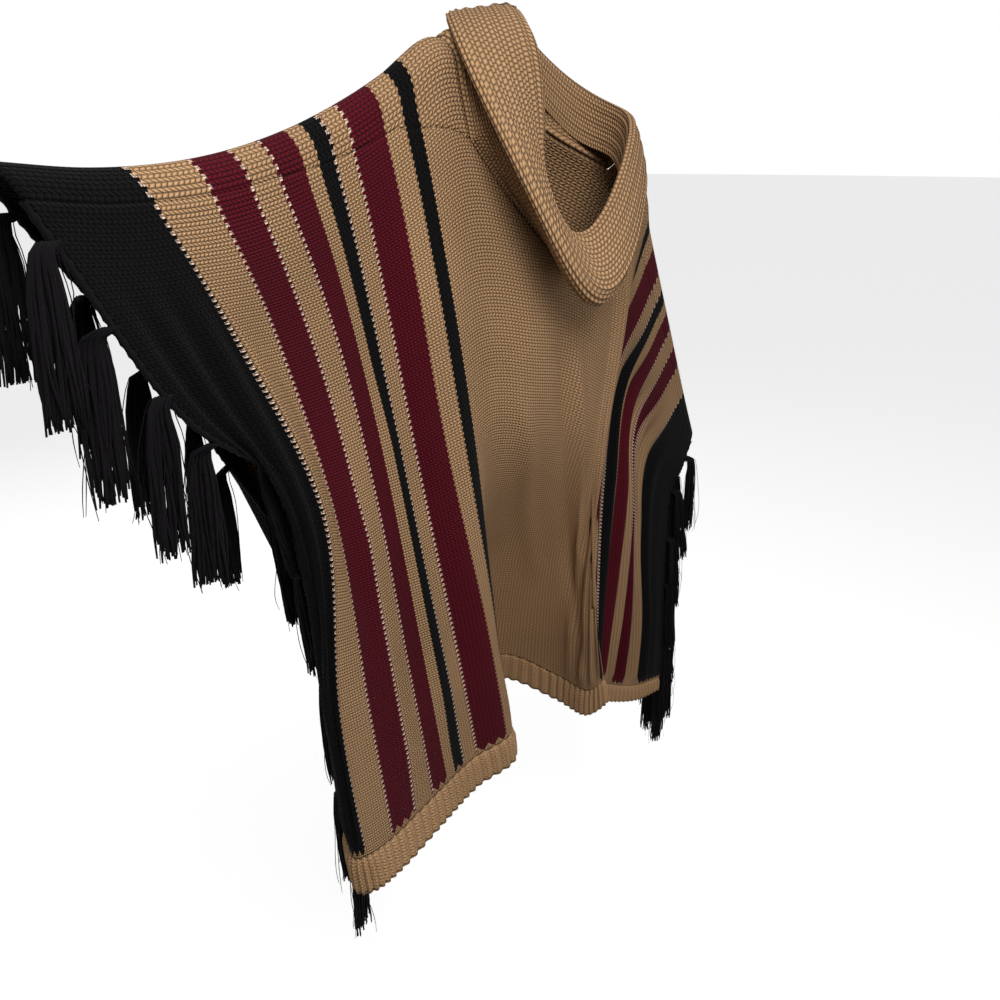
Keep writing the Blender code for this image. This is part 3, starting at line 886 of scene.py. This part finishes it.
@dataclass
class Panel(Piece):
    """The front, or the back with the yoke that wraps over the shoulders.

    Its creases fade out over a short length by the hem and by the side edges.
    """

    creases: list[Crease]
    gathers: list[Gather]
    front: bool
    columns: int = 281
    rows: int = 156
    neck_columns: int = 61
    yoke_rows: int = 22
    rib_lap: float = 0.001
    hem_fade: float = 0.03
    side_fade: float = 0.02

    def columns_across(self) -> Points:
        """Places across, evenly spaced on each side of the neck and across it."""
        side = np.linspace(NECK_HALF, HALF_WIDTH, (self.columns - self.neck_columns) // 2 + 1)
        neck = np.linspace(-NECK_HALF, NECK_HALF, self.neck_columns)
        return np.concatenate([-side[:0:-1], neck, side[1:]])

    def places(self) -> Points:
        """The places of the grid, rows by columns.

        The front's rows go down from its top edge to the hem band. The back's go up from the hem
        band and over the fold to the yoke's seam.
        """
        across = self.columns_across()
        share = np.linspace(0, 1, self.rows)[:, None]
        low = BODY + self.rib_lap
        if self.front:
            dip = np.clip(1 - np.abs(across) / NECK_HALF, 0, 1)
            neckline = YOKE[0].reach * (1 - dip) + FRONT_NECK_DROP * dip
            top = np.where(np.abs(across) < NECK_HALF, neckline, yoke_reach(across))
            down = top + (low - top) * share
        else:
            seam, turn = yoke_reach(across), self.yoke_rows / (self.rows - 1)
            up = -low + (low - BACK_NECK_DROP) * share / (1 - turn)
            over = -BACK_NECK_DROP + (seam + BACK_NECK_DROP) * (share - (1 - turn)) / turn
            down = np.where(share < 1 - turn, up, over)
        return np.stack([np.broadcast_to(across, down.shape), down], axis=-1)

    def build(self) -> Object:
        """The wall about the cloth's form, raised along its normal by the creases and gathers."""
        places = self.places()
        across, down = places[..., 0], places[..., 1]
        middle, normal = self.cloth.place(across, down), self.cloth.normal(across, down)
        held = ease((BODY - np.abs(down)) / self.hem_fade)
        held = held * ease((HALF_WIDTH - np.abs(across)) / self.side_fade)
        raised = sum(crease.raised(across, down) for crease in self.creases)
        raised = raised + sum(gather.raised(across, down) for gather in self.gathers)
        middle = middle + normal * (raised * held)[..., None]
        cells = quads_of(*down.shape, False)
        if not self.front:
            in_neck = np.abs((across[0, 1:] + across[0, :-1]) / 2) < NECK_HALF
            over = (down[:-1, 0] + down[1:, 0]) / 2 > -BACK_NECK_DROP
            cells = cells[~(over[:, None] & in_neck[None, :])]
        half = normal * WALL / 2
        return self.add_wall(middle + half, middle - half, places, "striped_knit", cells)


@dataclass
class HemRib(Piece):
    """A band of rounded ribs below a panel.

    The ribs swell over the first part of the band, and turn in a little at the hem.
    """

    side: int
    ribs: int = 88
    relief: float = 0.0042
    roundness: float = 0.7
    at_seam: float = 0.35
    swell_over: float = 0.25
    turned_in: float = 0.25
    sunk: float = 0.3
    columns_in_rib: int = 8
    rows: int = 9

    def build(self) -> Object:
        """The band, each of whose ribs is a raised cosine across it."""
        across = np.linspace(-HALF_WIDTH, HALF_WIDTH, self.ribs * self.columns_in_rib + 1)
        share = np.linspace(0, 1, self.rows)[:, None]
        down = self.side * (BODY + RIB_DEPTH * share) + 0 * across
        wide = np.broadcast_to(across, down.shape)
        middle, normal = self.cloth.place(wide, down), self.cloth.normal(wide, down)
        phase = across / (2 * HALF_WIDTH) * self.ribs * 2 * math.pi
        wave = 0.5 - 0.5 * np.cos(phase)
        swell = self.at_seam + (1 - self.at_seam) * ease(share / self.swell_over)
        swell = swell * (1 - self.turned_in * share**6)
        raised, sunk = self.relief * wave**self.roundness * swell, self.relief * self.sunk
        outer = middle + normal * (WALL / 2 - sunk + raised)[..., None]
        inner = middle - normal * (WALL / 2 + sunk * (1 - wave) * swell)[..., None]
        places = np.stack([wide, down], axis=-1)
        return self.add_wall(outer, inner, places, "camel_rib", quads_of(*down.shape, False))


@dataclass
class RolledCowl(Piece):
    """The cowl, a wide tube of knitting sewn round the neckline and rolled over on itself.

    Its roll goes round an oval, tilted by slopes along X and Y, with a dip at an angle. The wall
    angles are where it goes round the roll's section.
    """

    inset: float = 0.0038
    stand: float = 0.006
    turn_in: float = 0.010
    centre: Triple = (0.012, -0.012, 0.016)
    reach: Pair = (0.108, 0.083)
    skew: float = 0.035
    tilt: Pair = (-0.50, 0.42)
    dip: float = 0.185
    dip_at: float = 250
    dip_spread: float = 52
    first_angle: float = 140
    corner_shares: tuple[float, ...] = (0.0, 0.16, 0.36, 0.55, 0.68, 1.0)
    wall_angles: tuple[float, ...] = (-75, -12, 42, 168)
    ring_knots: tuple[float, ...] = (0.0, 0.6, 1.9, 2.9, 3.8, 5.2, 6.4)
    columns: int = 300
    rows: int = 84
    ridge: float = 0.0009
    ridges: int = 22

    def neckline(self, share: Points) -> Points:
        """Places on the cloth this share of the way round the neckline, from its right."""
        behind, seam = -BACK_NECK_DROP, YOKE[0].reach
        right = [(-NECK_HALF, behind), (-NECK_HALF, seam)]
        left = [(NECK_HALF, seam), (NECK_HALF, behind)]
        corners = np.array([*right, (0.0, FRONT_NECK_DROP), *left, right[0]])
        return np.stack([np.interp(share, self.corner_shares, way) for way in corners.T], axis=1)

    def core(self, angle: Points) -> Points:
        """The middle of the roll: an oval in plan on a tilted plane, which dips at the front."""
        plan = np.stack([np.cos(angle), np.sin(angle)], axis=1) * self.reach
        plan[:, 0] += self.skew * np.sin(angle)
        dip = self.dip * np.exp(-(((np.degrees(angle) - self.dip_at) / self.dip_spread) ** 2))
        return np.column_stack([plan, plan @ self.tilt - dip]) + self.centre

    def rings(self, share: Points) -> Points:
        """The cowl's wall, from the neckline out over the roll and down inside.

        Args:
            share: Shares of the way round the neck.

        Returns:
            Rings by places by three.
        """
        spots = self.neckline(share)
        tangent = np.roll(spots, -1, axis=0) - np.roll(spots, 1, axis=0)
        spots = spots + self.inset * unit(tangent[:, ::-1] * np.array([1.0, -1.0]))
        base = self.cloth.place(spots[:, 0], spots[:, 1])
        out = self.cloth.normal(spots[:, 0], spots[:, 1])
        rings = [base - out * WALL / 2, base + out * self.stand]
        degrees = self.first_angle + 360 * share
        core = self.core(np.radians(degrees))
        rows, whole = np.array(ROLL_SECTIONS), np.array([360.0, 0, 0, 0, 0])
        rows = np.vstack([rows[-2:] - whole, rows, rows[:2] + whole])
        at = hermite(rows[:, 0], rows[:, 1:], degrees)
        lean, (half_width, half_depth, tuck) = np.radians(at[:, :1]), at.T[1:, :, None]
        along = np.roll(core, -1, axis=0) - np.roll(core, 1, axis=0)
        outward = unit(along[:, [1, 0, 2]] * np.array([1.0, -1.0, 0.0]))
        upward = np.array([0.0, 0.0, 1.0])
        inner_end = upward * np.sin(lean) - outward * np.cos(lean)
        over = outward * np.sin(lean) + upward * np.cos(lean)
        for angle in np.radians(self.wall_angles):
            point = core - inner_end * half_width * math.cos(angle)
            rings.append(point + over * half_depth * math.sin(angle))
        rings.append(rings[-1] - outward * self.turn_in - upward * tuck)
        return np.array(rings)

    def build(self) -> Object:
        """The wall on a cubic curve through the rings, with fine ridges round it."""
        rings = self.rings(np.arange(self.columns) / self.columns)
        knots, columns = np.array(self.ring_knots), self.columns
        share = np.linspace(0, knots[-1], self.rows)
        own = np.tile(np.arange(columns), self.rows)
        middle = hermite(knots, rings, np.repeat(share, columns), own=own)
        middle = middle.reshape(self.rows, columns, 3)
        along = np.roll(middle, -1, axis=1) - np.roll(middle, 1, axis=1)
        normal = unit(np.cross(along, np.gradient(middle, axis=0)))
        ridged = self.ridge * np.cos(share / knots[-1] * 2 * math.pi * self.ridges)[:, None, None]
        middle = middle + normal * ridged
        steps = [np.linalg.norm(np.diff(middle, axis=way), axis=2) for way in range(2)]
        down, around = (np.r_[0, np.cumsum(steps[way].mean(axis=1 - way))] for way in range(2))
        places = np.stack(np.broadcast_arrays(around[None, :], down[:, None]), axis=-1)
        half, cells = normal * WALL / 2, quads_of(self.rows, columns, True)
        return self.add_wall(middle + half, middle - half, places, "camel_mesh_knit", cells)


class Strand(NamedTuple):
    """A kind of yarn in a tassel: its spread, depth, length and thickness, and how it strays."""

    spread: float
    depth: float
    longer: float
    thickness: float
    stray: float


YARN = Strand(1.0, 1.0, 0.0, 1.0, 0.0026)
WISP = Strand(1.35, 1.8, 0.05, 0.35, 0.0065)


@dataclass
class Fringe(Piece):
    """The tassels of one side edge: loops knotted over a crocheted edge, their yarns hanging."""

    side: int
    face: int
    seed: int
    tassels: int = 12
    yarns: int = 52
    wisps: int = 8
    first: float = 0.050
    last: float = LENGTH - 0.020
    length: float = 0.114
    uneven: float = 0.04
    spread: float = 0.027
    depth: float = 0.0045
    stagger: float = 0.0060
    reach: float = 0.010
    knot: float = 0.003
    sway: float = 0.002
    ragged: float = 0.16
    waist: float = 0.62
    flare: float = 0.08
    tip: float = 0.35
    rings: int = 14
    yarn_radius: float = 0.00105
    cord: Pair = (0.0024, 0.0005)

    def edge_line(self, count: int) -> Points:
        """Places down the edge, from just below the fold to the hem."""
        reach = YOKE[-1].reach if self.face > 0 else BACK_NECK_DROP
        return self.face * np.linspace(reach, LENGTH - STEP, count)

    def hold(self, n: int) -> tuple[Points, ...]:
        """How a tassel is held: its root, where it hangs, its breadth, depth, swing and length."""
        down = self.first + (self.last - self.first) * n / (self.tassels - 1)
        lower = min(down + self.length, LENGTH)
        spots = self.face * np.array([down - STEP, down, down + STEP])
        middle, outward, normal = self.cloth.side_edge(self.side, spots)
        edge = np.array([self.side * HALF_WIDTH])
        below = self.cloth.place(edge, np.array([self.face * lower]))[0] - middle[1]
        root, phase = middle[1] + outward[1] * self.knot, self.side + self.face
        broad = unit(-outward[1] * np.array([1.0, 0.3, 0.0]))
        deep = np.array([-broad[1], broad[0], 0.0])
        deep = deep * np.sign(deep @ normal[1])
        length = self.length * (1 + self.uneven * math.sin(1.7 * n + phase))
        hang = root - broad * self.reach + deep * self.stagger * (-1) ** n
        # it leans with the edge, less where the edge slopes far
        slope = below * np.array([1.0, 1.0, 0.0]) / abs(below[2])
        steep = float(np.clip(1.6 - 2 * np.linalg.norm(slope), 0, 1))
        lean = -broad * max(0.0, float(-broad @ slope)) + deep * float(deep @ slope) * steep
        sway = broad * self.sway * (1 + math.cos(1.3 * n + phase))
        swing = lean * min(length, lower - down + 0.02) - sway
        return root, hang, broad, deep, swing, length

    def tassel(self, n: int, rng: np.random.Generator) -> tuple[Points, Points]:
        """The yarns of one tassel: out over the edge together, then down and apart.

        Args:
            n: Which tassel, from the top.
            rng: Where its irregularities come from.

        Returns:
            Paths, yarns by rings by three, and their radii.
        """
        root, hang, broad, deep, swing, length = self.hold(n)
        kinds = [YARN] * self.yarns + [WISP] * self.wisps
        spread, depth, longer, thickness, stray = np.array(kinds).T
        total = len(kinds)
        angle, radius = rng.uniform(0, 2 * math.pi, total), np.sqrt(rng.uniform(0, 1, total))
        b = radius * np.cos(angle) * self.spread / 2 * spread
        d = radius * np.sin(angle) * self.depth * depth
        drop = length * (1 - self.ragged * rng.uniform(0, 1, total) ** 2 + longer)
        wander = rng.uniform(-1, 1, (total, 4))
        t = np.linspace(0, 1, self.rings)[None, :]
        out = ease(t / 0.10)
        gather = self.waist + (1 - self.waist) * ease((t - 0.04) / 0.30) + self.flare * t**2
        size = stray[:, None] * t
        side_b = size * np.sin(t * (4 + 3 * wander[:, :1]) + 3 * wander[:, 1:2])
        side_d = size * np.sin(t * (4 + 3 * wander[:, 2:3]) + 3 * wander[:, 3:4])
        path = (root + (hang - root) * out[..., None]) + swing * t[..., None]
        path = path + broad * (b[:, None] * gather + side_b)[..., None]
        path = path + deep * (d[:, None] * gather + side_d)[..., None]
        path[..., 2] -= drop[:, None] * t - 0.004 * out * (1 - t)
        radii = thickness[:, None] * self.yarn_radius * (1 - self.tip * ease((t - 0.82) / 0.18))
        return path, radii * (1 + 0.10 * np.sin(t * 30 + 6 * wander[:, :1]))

    def edging(self, count: int = 220) -> tuple[Points, Points]:
        """The crocheted cord along the edge, its thickness pulsing with its stitches."""
        down = self.edge_line(count)
        middle, outward, _ = self.cloth.side_edge(self.side, down)
        radius, pulse = self.cord
        path = (middle + outward * radius / 2)[None]
        return path, (radius + pulse * np.cos(np.arange(count) * 2.1))[None]

    def build(self) -> Object:
        """All the tassels and the edging as one piece."""
        rng = np.random.default_rng(self.seed)
        parts = [self.tassel(n, rng) for n in range(self.tassels)]
        paths, radii = (np.concatenate([part[k] for part in parts]) for k in range(2))
        points = [tube_points(paths, radii, 4)]
        faces = [tube_faces(len(paths), self.rings, 4)]
        line, thick = self.edging()
        points.append(tube_points(line, thick, 8))
        faces.append(tube_faces(1, line.shape[1], 8, len(points[0])))
        return self.add(np.concatenate(points), np.concatenate(faces), None, "black_yarn")


class Lamp(NamedTuple):
    """A square soft light that faces a point."""

    name: str
    place: Triple
    target: Triple
    size: float
    power: float
    warmth: float

    def light(self) -> None:
        """Puts the light in the scene, warmer with its warmth."""
        light = bpy.data.lights.new(self.name, "AREA")
        light.shape, light.size, light.energy = "SQUARE", self.size, self.power
        light.color = (1.0, 1.0 - 0.10 * self.warmth, 1.0 - 0.22 * self.warmth)
        made = bpy.data.objects.new(self.name, light)
        bpy.context.scene.collection.objects.link(made)
        x, y, z = np.subtract(self.target, self.place)
        made.location = self.place
        made.rotation_euler = (math.atan2(math.hypot(x, y), -z), 0.0, math.atan2(-x, y))


LAMPS = [
    Lamp("key_light", (-0.75, -0.85, 0.55), (-0.15, 0.0, -0.30), 0.6, 15.0, 0.30),
    Lamp("fill_light", (0.9, -2.4, 0.3), (0.0, 0.0, -0.4), 2.2, 12.0, 0.1),
    Lamp("rear_light", (0.8, 2.6, 1.2), (0.0, 0.1, -0.4), 2.2, 22.0, 0.0),
]


@dataclass
class Studio:
    """A pale floor, soft lights and the camera."""

    floor_height: float = -1.42
    floor_radii: Triple = (0.0005, 6.0, 40.0)
    floor_sides: int = 96
    air_from: Pair = (-0.6, 0.8)
    air_to: Pair = (0.14, 0.62)
    eye: Triple = (-0.885, -0.681, -0.045)
    pitch: float = 20.0
    heading: float = -50.0
    lens: float = 36.0

    def floor(self) -> None:
        """A wide level disc below the garment."""
        angle = np.arange(self.floor_sides) * 2 * math.pi / self.floor_sides
        radius = np.array(self.floor_radii)[:, None]
        height = np.full((len(radius), self.floor_sides), self.floor_height)
        points = np.stack([radius * np.cos(angle), radius * np.sin(angle), height], axis=-1)
        faces = quads_of(len(radius), self.floor_sides, True).reshape(-1, 4)
        made = add_mesh("studio_floor", points.reshape(-1, 3), faces, None, FloorFinish().make())
        made.visible_diffuse = False

    def air(self) -> bpy.types.World:
        """The world: white where it is seen, and a weaker light that grows towards the top."""
        world = bpy.data.worlds.new("studio_air")
        world.use_nodes = True
        air, nodes = Nodes(world.node_tree), world.node_tree.nodes
        seen = nodes["Background"]
        air.feed(seen.inputs["Color"], WHITE)
        air.feed(seen.inputs["Strength"], 1.0)
        spot = air.node("TexCoord").outputs["Generated"]
        height = air.node("SeparateXYZ", {0: spot}).outputs[2]
        fed = {"Value": height, "From Min": self.air_from[0], "From Max": self.air_from[1]}
        fed |= {"To Min": self.air_to[0], "To Max": self.air_to[1]}
        level = air.node("MapRange", fed).outputs[0]
        cast = air.node("Background", {"Strength": level}).outputs[0]
        is_seen = air.node("LightPath").outputs["Is Camera Ray"]
        mix = air.node("MixShader", {0: is_seen, 1: cast, 2: seen.outputs[0]})
        air.feed(nodes["World Output"].inputs["Surface"], mix.outputs[0])
        return world

    def build(self) -> None:
        """Sets the stage."""
        self.floor()
        for lamp in LAMPS:
            lamp.light()
        scene = bpy.context.scene
        scene.world = self.air()
        camera = bpy.data.cameras.new("studio_camera")
        camera.sensor_fit, camera.sensor_width = "HORIZONTAL", 36.0
        camera.lens, camera.clip_start = self.lens, 0.01
        made = bpy.data.objects.new("studio_camera", camera)
        scene.collection.objects.link(made)
        made.location = self.eye
        made.rotation_euler = (math.radians(90 - self.pitch), 0.0, math.radians(self.heading))
        scene.camera = made
        scene.view_settings.view_transform = "Standard"


def main() -> None:
    """Builds the garment and the studio."""
    logging.basicConfig(level=logging.INFO, format="%(name)s: %(message)s")
    cloth = HungCloth()
    sideways, mesh = Stitch.SIDEWAYS, Stitch.MESH
    knit = KnitFinish("striped_knit", sideways, 0.0050, COURSE, True)
    yoke = KnitFinish("striped_knit_yoke", sideways, 0.0058, COURSE * 1.2, True, relief=0.0020)
    # the rib and the roll each set their own painted shade between the loops
    rib = KnitFinish("camel_rib", sideways, 0.0048, 0.0038, False, relief=0.0010, painted_hollow_shade=0.50)
    roll = KnitFinish("camel_mesh_knit", mesh, 0.0056, 0.0042, False, relief=0.0022, painted_hollow_shade=0.82)
    front = ("front_panel_knit", "front_panel", cloth, knit.make(), FRONT_CREASES, FRONT_GATHERS)
    back = ("back_panel_knit", "back_panel", cloth, yoke.make(), BACK_CREASES, BACK_GATHERS)
    front, back = Panel(*front, True).build(), Panel(*back, False).build()
    rib_knit, yarn = rib.make(), YarnFinish("black_yarn", Yarn.BLACK).make()
    bands = [
        HemRib("front_rib_knit", "front_rib", cloth, rib_knit, 1).build(),
        HemRib("back_rib_knit", "back_rib", cloth, rib_knit, -1).build(),
    ]
    cowl = RolledCowl("cowl_knit", "cowl", cloth, roll.make()).build()
    edges = [(face, side) for side in ("right", "left") for face in ("front", "back")]
    way = {"right": -1, "left": 1, "front": 1, "back": -1}
    fringes = []
    for seed, (face, side) in enumerate(edges, start=11):
        node = f"fringe_{face}_{side}"
        made = Fringe(f"{node}_yarns", node, cloth, yarn, way[side], way[face], seed).build()
        fringes.append(made)
    for piece in (front, back, *bands, cowl, *fringes):
        LOG.info("%s: %d faces", piece.name, len(piece.data.polygons))
    Studio().build()


if __name__ == "__main__":
    main()
